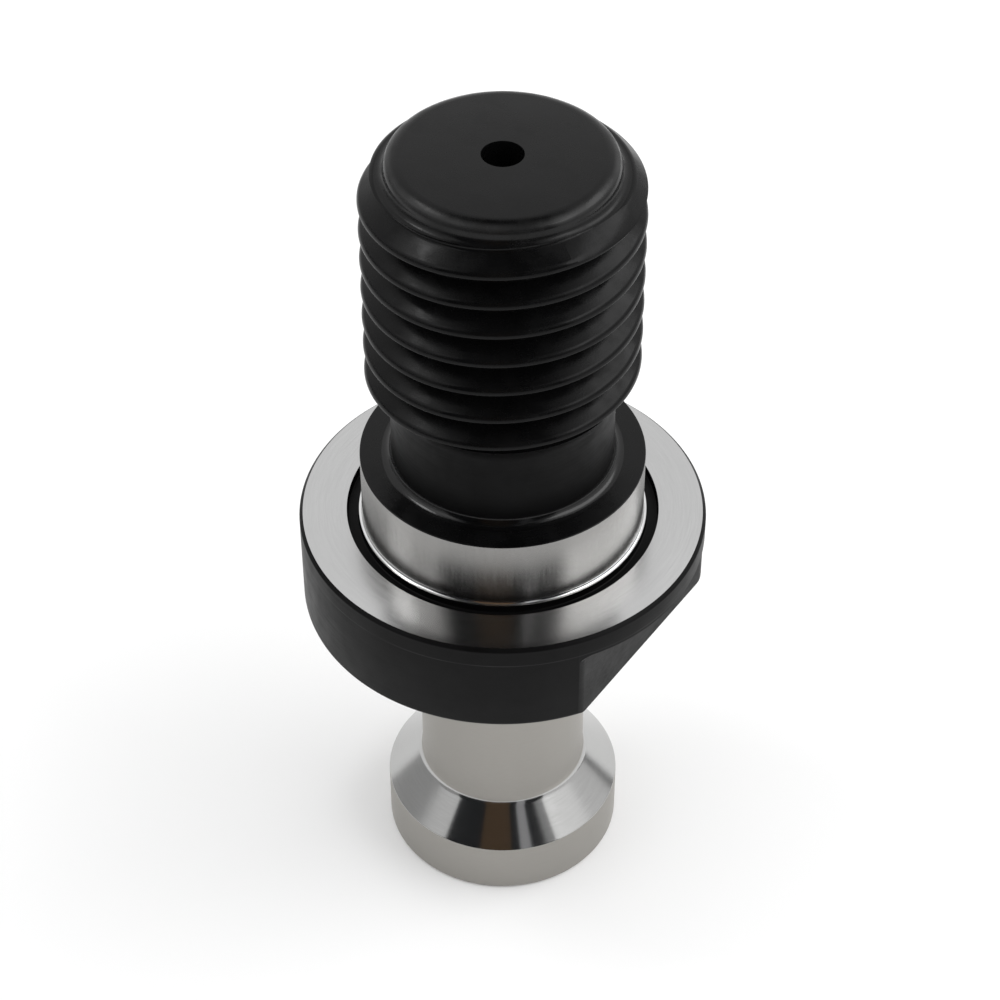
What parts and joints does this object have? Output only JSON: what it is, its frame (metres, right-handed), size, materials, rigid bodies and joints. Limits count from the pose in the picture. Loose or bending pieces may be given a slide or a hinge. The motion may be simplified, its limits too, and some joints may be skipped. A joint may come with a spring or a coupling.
{
  "type": "pull stud",
  "caption": "One-piece turned steel pull stud: threaded shank with a dog point, ground pilot, flange with wrench flats, and a necked head with a conical grip under it.",
  "frame": {"origin": "centre of the head's end face, on which the stud stands", "axes": "+Z along the stud's axis, from the head to the threaded end; one wrench flat faces 34 degrees from +X towards -Y"},
  "size_m": [0.0246, 0.0246, 0.0533],
  "materials": {
    "blackened_steel": "black oxide, ground bright on the seat, the pilot's wall, the neck and the head"
  },
  "bodies": {
    "root": {"pull_stud": "blackened_steel"}
  },
  "joints": []
}
